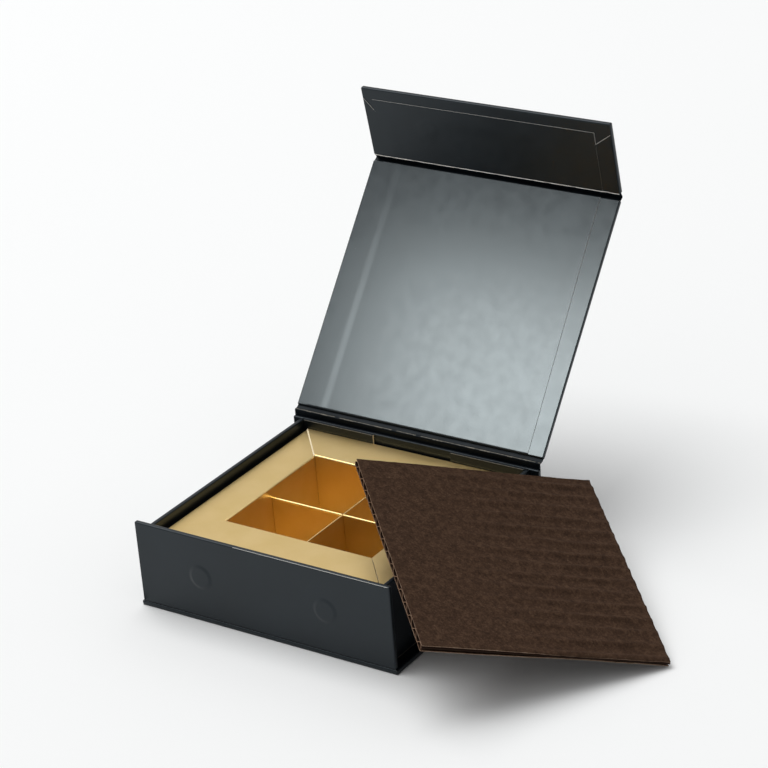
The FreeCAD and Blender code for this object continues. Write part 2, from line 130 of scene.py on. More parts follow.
def add_node(tree, kind, inputs=None, **settings):
    """Adds a node with its settings. An input is a value or another node's output."""
    node = tree.nodes.new(kind)
    for name, value in settings.items():
        setattr(node, name, value)
    for socket, value in (inputs or {}).items():
        if isinstance(value, bpy.types.NodeSocket):
            tree.links.new(value, node.inputs[socket])
        else:
            node.inputs[socket].default_value = value
    return node


def new_material(name):
    """An empty material with its Principled shader, and Object coordinates to draw patterns with."""
    material = bpy.data.materials.new(name)
    material.use_nodes = True
    tree = material.node_tree
    where = add_node(tree, "ShaderNodeTexCoord").outputs["Object"]
    return material, tree, tree.nodes["Principled BSDF"], where


def per_mm(size):
    """The scale of a pattern whose features are so many millimetres across."""
    return 1.0 / (size * MM)


def shade_ramp(tree, factor, stops):
    """A colour ramp through (position, hex colour) stops."""
    ramp = add_node(tree, "ShaderNodeValToRGB", {"Fac": factor})
    while len(ramp.color_ramp.elements) < len(stops):
        ramp.color_ramp.elements.new(0.5)
    for element, (position, colour) in zip(ramp.color_ramp.elements, stops):
        element.position = position
        element.color = linear(colour)
    return ramp.outputs["Color"]


def black_film_paper(name, mirror):
    """Black art paper under a satin film that mirrors coolly, at the specular level mirror.

    The board shows through as soft swells, the glue as a fainter peel, and the film has a fine grain,
    which is drawn as coarse as it needs to show.
    """
    material, tree, shader, where = new_material(name)
    swell = add_node(tree, "ShaderNodeTexNoise", {"Vector": where, "Scale": per_mm(13), "Detail": 2.0})
    peel = add_node(tree, "ShaderNodeTexNoise", {"Vector": where, "Scale": per_mm(5), "Detail": 2.0})
    film = add_node(tree, "ShaderNodeTexNoise", {"Vector": where, "Scale": per_mm(0.7), "Detail": 1.0})
    tone = add_node(tree, "ShaderNodeTexNoise", {"Vector": where, "Scale": per_mm(30), "Detail": 3.0})
    colour = shade_ramp(tree, tone.outputs["Fac"], [(0.3, "#0A0D11"), (0.7, "#11161B")])
    gloss = add_node(
        tree, "ShaderNodeMapRange",
        {"Value": peel.outputs["Fac"], "From Min": 0.3, "From Max": 0.7, "To Min": 0.29, "To Max": 0.34},
    )
    low = add_node(tree, "ShaderNodeBump", {"Height": swell.outputs["Fac"], "Distance": 0.025 * MM})
    mid = add_node(
        tree, "ShaderNodeBump",
        {"Height": peel.outputs["Fac"], "Distance": 0.005 * MM, "Normal": low.outputs["Normal"]},
    )
    fine = add_node(
        tree, "ShaderNodeBump",
        {"Height": film.outputs["Fac"], "Distance": 0.002 * MM, "Normal": mid.outputs["Normal"]},
    )
    tree.links.new(colour, shader.inputs["Base Color"])
    tree.links.new(gloss.outputs["Result"], shader.inputs["Roughness"])
    tree.links.new(fine.outputs["Normal"], shader.inputs["Normal"])
    shader.inputs["IOR"].default_value = 1.49
    shader.inputs["Specular IOR Level"].default_value = mirror
    shader.inputs["Specular Tint"].default_value = linear("#E7F6FF")
    return material


def gold_card():
    """Card printed with gold pigment under satin varnish: metallic, with a fine grain and soft clouds.

    The pigment's own grain is too fine to show, so it is drawn coarser.
    """
    material, tree, shader, where = new_material("gold_pigment_card")
    cloud = add_node(tree, "ShaderNodeTexNoise", {"Vector": where, "Scale": per_mm(14), "Detail": 3.0})
    grain = add_node(tree, "ShaderNodeTexNoise", {"Vector": where, "Scale": per_mm(0.6), "Detail": 2.0})
    colour = shade_ramp(tree, cloud.outputs["Fac"], [(0.3, "#E6C887"), (0.7, "#EDD093")])
    gloss = add_node(
        tree, "ShaderNodeMapRange",
        {"Value": grain.outputs["Fac"], "From Min": 0.3, "From Max": 0.7, "To Min": 0.3, "To Max": 0.38},
    )
    bump = add_node(tree, "ShaderNodeBump", {"Height": grain.outputs["Fac"], "Distance": 0.012 * MM})
    tree.links.new(colour, shader.inputs["Base Color"])
    tree.links.new(gloss.outputs["Result"], shader.inputs["Roughness"])
    tree.links.new(bump.outputs["Normal"], shader.inputs["Normal"])
    shader.inputs["Metallic"].default_value = 1.0
    return material


def core_and_highlight_matt(name, dark, light):
    """A fibrous matt two-tone finish: the core of card or paper where a knife cut it, and pale or grey lines
    painted as highlights along edges and crests.
    """
    material, tree, shader, where = new_material(name)
    fibre = add_node(tree, "ShaderNodeTexNoise", {"Vector": where, "Scale": per_mm(0.9), "Detail": 3.0})
    colour = shade_ramp(tree, fibre.outputs["Fac"], [(0.3, dark), (0.7, light)])
    tree.links.new(colour, shader.inputs["Base Color"])
    shader.inputs["Roughness"].default_value = 0.8
    return material


def grey_board():
    """Pressed waste-paper board, fibrous and flecked."""
    material, tree, shader, where = new_material("grey_board")
    fibre = add_node(tree, "ShaderNodeTexNoise", {"Vector": where, "Scale": per_mm(1.2), "Detail": 5.0})
    colour = shade_ramp(tree, fibre.outputs["Fac"], [(0.3, "#857E74"), (0.7, "#A49C90")])
    bump = add_node(tree, "ShaderNodeBump", {"Height": fibre.outputs["Fac"], "Distance": 0.05 * MM})
    tree.links.new(colour, shader.inputs["Base Color"])
    tree.links.new(bump.outputs["Normal"], shader.inputs["Normal"])
    shader.inputs["Roughness"].default_value = 0.85
    return material


def brown_kraft(name, shades, fleck):
    """Dark dyed kraft paper: matt, with fibre clouds, a fine nap and pale flecks."""
    material, tree, shader, where = new_material(name)
    cloud = add_node(
        tree, "ShaderNodeTexNoise",
        {"Vector": where, "Scale": per_mm(2.6), "Detail": 5.0, "Roughness": 0.62},
    )
    nap = add_node(tree, "ShaderNodeTexNoise", {"Vector": where, "Scale": per_mm(0.8), "Detail": 3.0})
    mixed = add_node(
        tree, "ShaderNodeMix",
        {"Factor": 0.42, "A": cloud.outputs["Fac"], "B": nap.outputs["Fac"]},
    )
    colour = shade_ramp(tree, mixed.outputs["Result"], list(zip((0.32, 0.5, 0.68), shades)))
    specks = add_node(tree, "ShaderNodeTexNoise", {"Vector": where, "Scale": per_mm(0.5), "Detail": 1.0})
    mask = add_node(
        tree, "ShaderNodeMapRange",
        {"Value": specks.outputs["Fac"], "From Min": 0.68, "From Max": 0.76, "To Max": fleck},
    )
    flecked = add_node(
        tree, "ShaderNodeMix",
        {"Factor": mask.outputs["Result"], "A": colour, "B": linear("#8A7462")}, data_type="RGBA",
    )
    bump = add_node(tree, "ShaderNodeBump", {"Height": nap.outputs["Fac"], "Distance": 0.06 * MM})
    tree.links.new(flecked.outputs["Result"], shader.inputs["Base Color"])
    tree.links.new(bump.outputs["Normal"], shader.inputs["Normal"])
    shader.inputs["Roughness"].default_value = 0.9
    shader.inputs["Specular IOR Level"].default_value = 0.06
    return material


def fluting_paper():
    """The fluting between the papers: dark inside, pale at both ends where the knife cut it."""
    material, tree, shader, where = new_material("brown_fluting")
    low, high = local_box("pad_fluting", PAD_PLACE)
    along = PAD_PLACE.col[1].to_3d()
    middle = PAD_PLACE.translation.dot(along) + (low.y + high.y) / 2
    reach = add_node(tree, "ShaderNodeVectorMath", {0: where, 1: along}, operation="DOT_PRODUCT")
    offset = add_node(
        tree, "ShaderNodeMath", {0: reach.outputs["Value"], 1: middle}, operation="SUBTRACT",
    )
    away = add_node(tree, "ShaderNodeMath", {0: offset.outputs["Value"]}, operation="ABSOLUTE")
    half = (high.y - low.y) / 2
    end = add_node(
        tree, "ShaderNodeMapRange",
        {"Value": away.outputs["Value"], "From Min": half - 0.3 * MM, "From Max": half - 0.1 * MM},
    )
    colour = shade_ramp(tree, end.outputs["Result"], [(0.0, "#2A1D16"), (1.0, "#7A614F")])
    tree.links.new(colour, shader.inputs["Base Color"])
    shader.inputs["Roughness"].default_value = 0.9
    shader.inputs["Specular IOR Level"].default_value = 0.06
    return material


def plated_magnet():
    """Nickel-plated disc magnet, lightly brushed."""
    material, tree, shader, where = new_material("nickel_plate")
    scratch = add_node(tree, "ShaderNodeTexNoise", {"Vector": where, "Scale": per_mm(0.6), "Detail": 3.0})
    gloss = add_node(
        tree, "ShaderNodeMapRange",
        {"Value": scratch.outputs["Fac"], "From Min": 0.3, "From Max": 0.7, "To Min": 0.2, "To Max": 0.35},
    )
    tree.links.new(gloss.outputs["Result"], shader.inputs["Roughness"])
    shader.inputs["Base Color"].default_value = linear("#C9C6BF")
    shader.inputs["Metallic"].default_value = 1.0
    return material


OUTER_PAPER = black_film_paper("black_film_wrap", mirror=0.42)
LINING_PAPER = black_film_paper("black_film_lining", mirror=0.42)
# The grooves' paper mirrors less than the film elsewhere: painted shade in the grooves
GROOVE_PAPER_PAINTED_SHADE = black_film_paper("black_film_groove_painted_shade", mirror=0.1)
# Pale paper core: real cut edges of linings and turn-ins, and painted highlights along the front's top edge and
# the flap's crease
PAPER_CORE_AND_HIGHLIGHT = core_and_highlight_matt("white_paper_core_and_highlight", "#D8D6D0", "#EFEDE8")
# Grey lines along the ears' tops and the lid hinge's crest: painted highlights
PAINTED_HIGHLIGHT_GREY = core_and_highlight_matt("painted_highlight_grey", "#4A4740", "#8A857A")
GOLD = gold_card()
CUT_EDGE = core_and_highlight_matt("cream_card_core", "#E6D4AC", "#F6EBD0")
GREY_BOARD = grey_board()
KRAFT = brown_kraft("brown_kraft_face", ("#2D2018", "#3F2E23", "#533F31"), fleck=0.25)
KRAFT_CUT = brown_kraft("brown_kraft_cut", ("#6A5344", "#8A7260", "#A8917D"), fleck=0.4)
FLUTING = fluting_paper()
MAGNET = plated_magnet()


# Building blocks


def new_piece(name, bm, materials, body, replaced=()):
    """Makes a finished bmesh a smooth-shaded piece that rides on a body and stands for CAD nodes."""
    mesh = bpy.data.meshes.new(name)
    bm.to_mesh(mesh)
    bm.free()
    for material in materials:
        mesh.materials.append(material)
    mesh.shade_smooth()
    mesh.set_sharp_from_angle(angle=SHARP_ANGLE)
    piece = bpy.data.objects.new(name, mesh)
    scene.collection.objects.link(piece)
    if body:
        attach(piece, body)
    if replaced:
        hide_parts(*replaced)
    return piece


def keep_faces_flat(piece):
    """Lets large faces set the normals, so that only the rounded edges look round."""
    weighted = piece.modifiers.new("flat_faces", "WEIGHTED_NORMAL")
    weighted.keep_sharp = True


def smooth_step(share):
    """A share from 0 to 1 that starts and ends softly."""
    share = min(1.0, max(0.0, share))
    return share * share * (3 - 2 * share)


def vertices_of(geom):
    """The vertices among what an operator returns."""
    return [item for item in geom if isinstance(item, bmesh.types.BMVert)]


def round_edges(bm, edges, radius, segments):
    """Rounds edges off. Returns what the bevel made."""
    return bmesh.ops.bevel(
        bm, geom=edges, offset=radius, offset_type="OFFSET", segments=segments,
        profile=0.5, affect="EDGES", material=-1,
    )


def cut_across(bm, place, normal, geom=None):
    """Divides all faces, or some, along a plane, so that they can be bent there."""
    geom = geom or list(bm.verts) + list(bm.edges) + list(bm.faces)
    bmesh.ops.bisect_plane(bm, geom=geom, dist=SLIVER, plane_co=place, plane_no=normal)


def add_slab(bm, low, high, rounding, segments=3):
    """A box between two corners with all its edges rounded. Returns its vertices."""
    middle = [(a + b) / 2 for a, b in zip(low, high)]
    made = bmesh.ops.create_cube(bm, size=1.0)["verts"]
    bmesh.ops.scale(bm, vec=[b - a for a, b in zip(low, high)], verts=made)
    bmesh.ops.translate(bm, vec=middle, verts=made)
    edges = list({edge for vertex in made for edge in vertex.link_edges})
    faces = round_edges(bm, edges, rounding, segments)["faces"]
    return list({vertex for face in faces for vertex in face.verts})


def wrapped_board(bm, board, floor=None):
    """A board's box with paper round it. Floor, where given, is the lowest it may reach."""
    low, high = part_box(board)
    around = Vector((PAPER, PAPER, PAPER))
    low = low - around
    if floor is not None:
        low.z = max(low.z, floor)
    add_slab(bm, low, high + around, EDGE_ROUND)


def add_magnet_mark(bm, place, radius, rise, flat):
    """A low round step over a magnet: level to the share flat of its radius, then running out."""
    before = set(bm.verts)
    steps = 24
    profile = []
    for step in range(steps + 1):
        share = step / steps
        height = rise * (0.5 + 0.5 * math.cos(math.pi * max(0.0, (share - flat) / (1 - flat))))
        profile.append(bm.verts.new((share * radius, 0, height)))
    edges = [bm.edges.new(pair) for pair in zip(profile, profile[1:])]
    bmesh.ops.spin(
        bm, geom=profile + edges, cent=(0, 0, 0), axis=UP, angle=2 * math.pi, steps=48, use_merge=True,
    )
    made = [vertex for vertex in bm.verts if vertex not in before]
    bmesh.ops.transform(bm, matrix=place, verts=made)
    bmesh.ops.remove_doubles(bm, verts=made, dist=SAME_PLACE)
    rim = [edge for edge in bm.edges if edge.is_boundary and edge.verts[0] not in before]
    bmesh.ops.holes_fill(bm, edges=rim, sides=0)


def add_crease(bm, low, high, segments):
    """A fine bead along X where folded paper stands up at its crease, broken where it sinks back."""
    before = set(bm.verts)
    height = high[2] - low[2]
    add_slab(bm, low, high, 0.45 * min(high[1] - low[1], height))
    for cut in range(1, segments):
        made = [vertex for vertex in bm.verts if vertex not in before]
        edges = {edge for vertex in made for edge in vertex.link_edges}
        faces = {face for vertex in made for face in vertex.link_faces}
        place = (low[0] + (high[0] - low[0]) * cut / segments, 0, 0)
        cut_across(bm, place, (1, 0, 0), made + list(edges) + list(faces))
    for vertex in bm.verts:
        if vertex not in before:
            waver = noise.noise(Vector((vertex.co.x * per_mm(4), 3, 7)))
            vertex.co.z += 1.6 * height * min(0.0, waver - 0.04)


def add_core_and_highlight_ridge(bm, start, end, up, width, finish):
    """A low three-sided ridge along a knife cut, where the paper's core shows, or along an edge or crest, where it
    carries a painted highlight.
    """
    side = (end - start).normalized().cross(up) * width / 2
    sunk = up * 0.03 * MM
    section = [start - side - sunk, start + up * width / 4, start + side - sunk]
    first = bm.faces.new([bm.verts.new(point) for point in section])
    grown = bmesh.ops.extrude_face_region(bm, geom=[first])["geom"]
    far = vertices_of(grown)
    bmesh.ops.translate(bm, vec=end - start, verts=far)
    faces = {face for vertex in list(first.verts) + far for face in vertex.link_faces}
    bmesh.ops.recalc_face_normals(bm, faces=list(faces))
    for face in faces:
        face.material_index = finish


# Case


def build_case_skin():
    """Base, front and back, each a board wrapped in the black sheet, and the marks over the magnets."""
    bm = bmesh.new()
    for board in ("base_board", "front_board", "back_board"):
        wrapped_board(bm, board)
    face_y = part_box("front_board")[0].y - PAPER
    low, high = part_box("front_magnets")
    radius = (high.z - low.z) / 2
    proud = 0.004 * MM
    for x in (low.x + radius, high.x - radius):
        centre = Vector((x, face_y - proud, (low.z + high.z) / 2))
        outward = Matrix.Translation(centre) @ Matrix.Rotation(math.pi / 2, 4, "X")
        add_magnet_mark(bm, outward, 1.15 * radius, rise=0.34 * MM, flat=0.64)
    bmesh.ops.recalc_face_normals(bm, faces=bm.faces)
    # A ridge of pale paper core along the right half of the front's top edge is a painted highlight for its glint
    top_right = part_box("front_board")[1]
    highlight_start, highlight_end = -12 * MM, top_right.x - 0.6 * MM
    inset = ROUND_MIDDLE * EDGE_ROUND
    start = Vector((highlight_start, face_y + inset, top_right.z + PAPER - inset))
    end = Vector((highlight_end, start.y, start.z))
    add_core_and_highlight_ridge(bm, start, end, Vector((0, -1, 1)).normalized(), width=0.16 * MM, finish=1)
    skin = new_piece("case_skin", bm, [OUTER_PAPER, PAPER_CORE_AND_HIGHLIGHT], "case", ["case_wrap"])
    keep_faces_flat(skin)


def build_wall_skin(side):
    """A side wall and its two ears in their paper sleeve.

    An ear's cut end shows its card, and a grey line along its top is a painted highlight.
    """
    bm = bmesh.new()
    base_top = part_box("base_board")[1].z + PAPER
    wrapped_board(bm, f"{side}_board", floor=base_top)
    inward = 1 if side == "left" else -1
    grow = Vector((0, PAPER, 0))
    rounding = 0.25 * MM
    inset = ROUND_MIDDLE * rounding
    highlight_margin = 0.5 * MM
    for end, facing in (("front", 1), ("back", -1)):
        low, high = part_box(f"{end}_{side}_ear")
        made = add_slab(bm, low - grow, high + grow + UP * PAPER, rounding, segments=2)
        bm.normal_update()
        for face in {face for vertex in made for face in vertex.link_faces}:
            if face.normal.x * inward > 0.9:
                face.material_index = 1
        inner_y = high.y + PAPER if end == "front" else low.y - PAPER
        start = Vector((low.x + highlight_margin, inner_y - facing * inset, high.z + PAPER - inset))
        far = Vector((high.x - highlight_margin, start.y, start.z))
        add_core_and_highlight_ridge(bm, start, far, Vector((0, facing, 1)).normalized(), width=0.2 * MM, finish=2)
    papers = [OUTER_PAPER, CUT_EDGE, PAINTED_HIGHLIGHT_GREY]
    skin = new_piece(f"{side}_wall_skin", bm, papers, "case", [f"{side}_wall_wrap"])
    keep_faces_flat(skin)


def build_wall_linings():
    """The linings inside the front and the back, each one sheet."""
    for end in ("front", "back"):
        bm = bmesh.new()
        low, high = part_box(f"{end}_liner")
        add_slab(bm, low, high, rounding=0.08 * MM)
        lining = new_piece(f"{end}_lining", bm, [LINING_PAPER], "case", [f"{end}_liner"])
        keep_faces_flat(lining)


# Lid and flap


def add_lining(bm, corners, window, ramp, drop, rolled_ends):
    """Lining paper: corners in order, sunk softly inside the window, rolled over the board at some ends.

    A rolled end has its place along Y, radius and quarter turn. Cut edges get the second material.
    """
    bm.faces.new([bm.verts.new(corner) for corner in corners])
    level = corners[0][2]
    cuts = 4
    for axis, limits in enumerate(window):
        normal = Vector((1, 0, 0)) if axis == 0 else Vector((0, 1, 0))
        for limit in limits:
            for step in range(-cuts, cuts + 1):
                cut_across(bm, normal * (limit + ramp * step / cuts), normal)
    for vertex in bm.verts:
        share = 1.0
        for axis, (low, high) in enumerate(window):
            inside = min(vertex.co[axis] - low, high - vertex.co[axis])
            share *= smooth_step(0.5 + 0.5 * inside / ramp)
        vertex.co.z -= drop * share
    for y_end, radius, quarter in rolled_ends:
        edges = [
            edge for edge in bm.edges if all(abs(vertex.co.y - y_end) < SAME_PLACE for vertex in edge.verts)
        ]
        ends = list({vertex for edge in edges for vertex in edge.verts})
        centre = (0, y_end, level - radius)
        bmesh.ops.spin(bm, geom=ends + edges, cent=centre, axis=(1, 0, 0), angle=quarter, steps=8)
    rim = [edge for edge in bm.edges if edge.is_boundary]
    made = bmesh.ops.extrude_edge_only(bm, edges=rim)["geom"]
    bmesh.ops.translate(bm, vec=(0, 0, -PAPER), verts=vertices_of(made))
    bmesh.ops.holes_fill(bm, edges=[edge for edge in bm.edges if edge.is_boundary], sides=0)
    bmesh.ops.recalc_face_normals(bm, faces=bm.faces)
    for face in made:
        if isinstance(face, bmesh.types.BMFace) and face.calc_center_median().z > level - 1.2 * PAPER:
            face.material_index = 1


def build_panel_skin(name, place, nose):
    """The wrapped board of the lid or of the flap. Nose rounds off the inner edge of its hinged end."""
    bm = bmesh.new()
    low, high = local_box(f"{name}_wrap", place)
    add_slab(bm, low, high, EDGE_ROUND)
    cuts = 8
    for step in range(1, cuts + 1):
        y = low.y + nose * (1 - math.cos(math.pi / 2 * step / cuts))
        cut_across(bm, (0, y, 0), (0, 1, 0))
    for vertex in bm.verts:
        back = min(nose, max(0.0, low.y + nose - vertex.co.y))
        vertex.co.z = min(vertex.co.z, high.z - nose + math.sqrt(nose ** 2 - back ** 2))
    bmesh.ops.transform(bm, matrix=place, verts=bm.verts)
    keep_faces_flat(new_piece(f"{name}_skin", bm, [OUTER_PAPER], name, [f"{name}_wrap"]))


def build_lid_lining():
    """The lid's lining. Its right edge was laid a little askew, and both ends roll into the grooves."""
    low, high = local_box("lid_liner", LID_PLACE)
    skew, overhang = 1.0 * MM, 0.1 * MM
    nose, roll = 1.1 * MM, 0.5 * MM
    start, stop = low.y - overhang + nose, high.y + overhang - roll
    corners = [
        (low.x, start, high.z),
        (high.x + skew, start, high.z),
        (high.x - skew, stop, high.z),
        (low.x, stop, high.z),
    ]
    # No turn-in lies under the ends, so the window runs on past them
    window = [(-TURN_IN_EDGE, TURN_IN_EDGE), (low.y - 5 * MM, high.y + 5 * MM)]
    rolled_ends = [(start, nose, math.pi / 2), (stop, roll, -math.pi / 2)]
    bm = bmesh.new()
    add_lining(bm, corners, window, ramp=2.2 * MM, drop=0.42 * PAPER, rolled_ends=rolled_ends)
    bmesh.ops.transform(bm, matrix=LID_PLACE, verts=bm.verts)
    papers = [LINING_PAPER, PAPER_CORE_AND_HIGHLIGHT]
    keep_faces_flat(new_piece("lid_lining", bm, papers, "lid", ["lid_liner"]))


def build_flap_lining():
    """The flap's lining, with faint marks over the magnets."""
    low, high = local_box("flap_liner", FLAP_PLACE)
    roll, overhang = 0.6 * MM, 0.1 * MM
    start = low.y - overhang + roll
    corners = [
        (low.x, start, high.z),
        (high.x, start, high.z),
        (high.x, high.y, high.z),
        (low.x, high.y, high.z),
    ]
    # The far end's turn-in lies under the lining, and there is none at the hinge
    window = [(-TURN_IN_EDGE, TURN_IN_EDGE), (low.y - 5 * MM, high.y - 8.5 * MM)]
    rolled_ends = [(start, roll, math.pi / 2)]
    bm = bmesh.new()
    add_lining(bm, corners, window, ramp=3 * MM, drop=0.2 * PAPER, rolled_ends=rolled_ends)
    magnets_low, magnets_high = local_box("flap_magnets", FLAP_PLACE)
    radius = (magnets_high.y - magnets_low.y) / 2
    for x in (magnets_low.x + radius, magnets_high.x - radius):
        centre = Vector((x, magnets_low.y + radius, high.z - 0.19 * PAPER))
        add_magnet_mark(bm, Matrix.Translation(centre), 1.5 * radius, rise=0.06 * MM, flat=0.3)
    bmesh.ops.recalc_face_normals(bm, faces=bm.faces)
    bmesh.ops.transform(bm, matrix=FLAP_PLACE, verts=bm.verts)
    papers = [LINING_PAPER, PAPER_CORE_AND_HIGHLIGHT]
    keep_faces_flat(new_piece("flap_lining", bm, papers, "flap", ["flap_liner"]))


def build_flap_crease():
    """The crease that stands up along the fold, in pale paper core as a painted highlight along it."""
    lining_low, lining_high = local_box("flap_liner", FLAP_PLACE)
    half_width = local_box("flap_wrap", FLAP_PLACE)[1].x - 0.4 * MM
    bead = 0.15 * MM
    middle = lining_low.y + 0.12 * MM
    bm = bmesh.new()
    low = (-half_width, middle - bead, lining_high.z - 1.2 * bead)
    high = (half_width, middle + bead, lining_high.z + 0.8 * bead)
    add_crease(bm, low, high, segments=90)
    bmesh.ops.transform(bm, matrix=FLAP_PLACE, verts=bm.verts)
    keep_faces_flat(new_piece("flap_crease", bm, [PAPER_CORE_AND_HIGHLIGHT], "flap"))


def build_flap_turn_ins():
    """The wrap's side turn-ins on the flap. Their ends are cut on the slant and show beside the lining."""
    skin_low, skin_high = local_box("flap_wrap", FLAP_PLACE)
    lining_low, lining_high = local_box("flap_liner", FLAP_PLACE)
    under = 0.6 * MM
    slant_start = skin_high.y - 5.0 * MM
    slant_end = slant_start - 5.8 * MM
    hinge_end = skin_low.y + 0.8 * MM
    level = skin_high.z + 0.01 * MM
    rise = 0.16 * MM
    cuts = []
    bm = bmesh.new()
    for side, edge, cover in (
        (-1, skin_low.x + EDGE_ROUND, lining_low.x + under),
        (1, skin_high.x - EDGE_ROUND, lining_high.x - under),
    ):
        outline = [(edge, slant_start), (cover, slant_end), (cover, hinge_end), (edge, hinge_end)]
        cuts.append([Vector((x, y, level + rise)) for x, y in outline[:2]])
        corners = [bm.verts.new((x, y, level)) for x, y in outline]
        sheet = bm.faces.new(corners if side < 0 else corners[::-1])
        grown = bmesh.ops.extrude_face_region(bm, geom=[sheet])["geom"]
        bmesh.ops.translate(bm, vec=(0, 0, rise), verts=vertices_of(grown))
    bmesh.ops.recalc_face_normals(bm, faces=bm.faces)
    # Each slanted cut gets a ridge of pale paper core, its real cut edge drawn bright as a painted highlight too
    for start, end in cuts:
        add_core_and_highlight_ridge(bm, start, end, UP, width=0.15 * MM, finish=1)
    bmesh.ops.transform(bm, matrix=FLAP_PLACE, verts=bm.verts)
    keep_faces_flat(new_piece("flap_turn_ins", bm, [OUTER_PAPER, PAPER_CORE_AND_HIGHLIGHT], "flap"))


def build_hinge_strip(name, section, half_width, replaced, highlight_bend=None):
    """Bare paper in a groove: a section in the YZ plane drawn out along X.

    A grey painted highlight lies in patches along the top of a bend whose place is given.
    """
    bm = bmesh.new()
    line = [bm.verts.new((-half_width, y, z)) for y, z in section]
    edges = [bm.edges.new(pair) for pair in zip(line, line[1:])]
    made = bmesh.ops.extrude_edge_only(bm, edges=edges)["geom"]
    bmesh.ops.translate(bm, vec=(2 * half_width, 0, 0), verts=vertices_of(made))
    lengthwise = [edge for edge in bm.edges if abs(edge.verts[0].co.x - edge.verts[1].co.x) > half_width]
    bmesh.ops.subdivide_edges(bm, edges=lengthwise, cuts=100, use_grid_fill=True)
    for vertex in bm.verts:
        waver = noise.noise(Vector((vertex.co.x * per_mm(4), 0, vertex.co.y * per_mm(4))))
        vertex.co.z += 0.09 * MM * waver
    bmesh.ops.recalc_face_normals(bm, faces=bm.faces)
    bmesh.ops.solidify(bm, geom=bm.faces, thickness=1.5 * PAPER)
    # The crest's faces take the grey of the painted highlight
    if highlight_bend is not None:
        near = [face for face in bm.faces if abs(face.calc_center_median().y - highlight_bend.y) < 0.4 * MM]
        crest = max(face.calc_center_median().z for face in near)
        for face in near:
            centre = face.calc_center_median()
            patchy = noise.noise(Vector((centre.x * per_mm(4), 9, 2)))
            if centre.z > crest - 0.12 * MM and patchy > -0.3:
                face.material_index = 1
    # The strip's paper mirrors little, as painted shade in the groove
    strip = new_piece(name, bm, [GROOVE_PAPER_PAINTED_SHADE, PAINTED_HIGHLIGHT_GREY], None, [replaced])
    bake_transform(strip)


def build_hinge_strips():
    """Paper of the two grooves: up from the back wall to a crest and into the lid, and from lid to flap.

    A way has steps along the groove and into the panel, as shares of the groove and of the thickness.
    """
    lid_low, lid_high = local_box("lid_wrap", LID_PLACE)
    half_width = lid_high.x - 0.1 * MM
    wall_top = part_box("back_board")[1].z
    groove = lid_low.y
    bend = 0.22 * MM
    foot = 1.2 * MM
    centre = HINGE + Vector((0, 0.05 * MM, -0.08 * MM - bend))
    lid_way = ((0.35, 0.42), (0.7, 0.58), (1.1, 0.64))
    lid_points = [LID_PLACE @ Vector((0, along * groove, depth * lid_low.z)) for along, depth in lid_way]
    # Up along the wall, over the crest in steps of 22 degrees, and into the lid's groove
    section = [(centre.y - bend, wall_top - 0.6 * MM), (centre.y - bend, HINGE.z - foot)]
    for step in range(8):
        angle = math.radians(180 - 22 * step)
        section.append((centre.y + bend * math.cos(angle), centre.z + bend * math.sin(angle)))
    section += [(point.y, point.z) for point in lid_points]
    build_hinge_strip(
        "lid_hinge_strip", section, half_width,
        "lid_hinge_paper", highlight_bend=HINGE,
    )
    lid_way = ((-0.3, 0.45), (0.4, 0.75), (0.85, 0.85))
    flap_way = ((0.35, 0.2), (0.8, 0.42), (1.3, 0.5))
    points = []
    for along, depth in lid_way:
        points.append(LID_PLACE @ Vector((0, lid_high.y + along * groove, depth * lid_low.z)))
    for along, depth in flap_way:
        points.append(FLAP_PLACE @ Vector((0, along * groove, -depth * lid_low.z)))
    section = [(point.y, point.z) for point in points]
    build_hinge_strip(
        "flap_hinge_strip", section, half_width, "flap_hinge_paper",
    )


# Gold insert


def add_tray_side(bm, turn, opening, rim, heights, ends):
    """One side of the tray: skirt, rim flap with mitred ends and cell wall, drawn facing +X and turned.

    Ends holds, for each end, the slit that is left at the mitre and how far the flap lifts there.
    """
    (own, other), (rim_own, rim_other) = opening, rim
    foot, top = heights
    rows = []
    for x, z, reach, on_rim in (
        (own + rim_own, foot, other + rim_other, 0),
        (own + rim_own, top, other + rim_other, 1),
        (own, top, other, 1),
        (own, foot, other, 0),
    ):
        row = []
        for sign, (slit, lift) in zip((-1, 1), ends):
            row.append(bm.verts.new((x, sign * (reach - on_rim * slit / 2), z + on_rim * lift)))
        rows.append(row)
    made = [vertex for row in rows for vertex in row]
    for upper, lower in zip(rows, rows[1:]):
        bm.faces.new((upper[0], upper[1], lower[1], lower[0]))
    folds = [bm.edges.get(row) for row in rows[1:3]]
    rounded = round_edges(bm, folds, radius=0.7 * MM, segments=4)["verts"]
    made = list({vertex for vertex in made if vertex.is_valid} | set(rounded))
    bmesh.ops.rotate(bm, cent=(0, 0, 0), matrix=Matrix.Rotation(turn, 3, "Z"), verts=made)


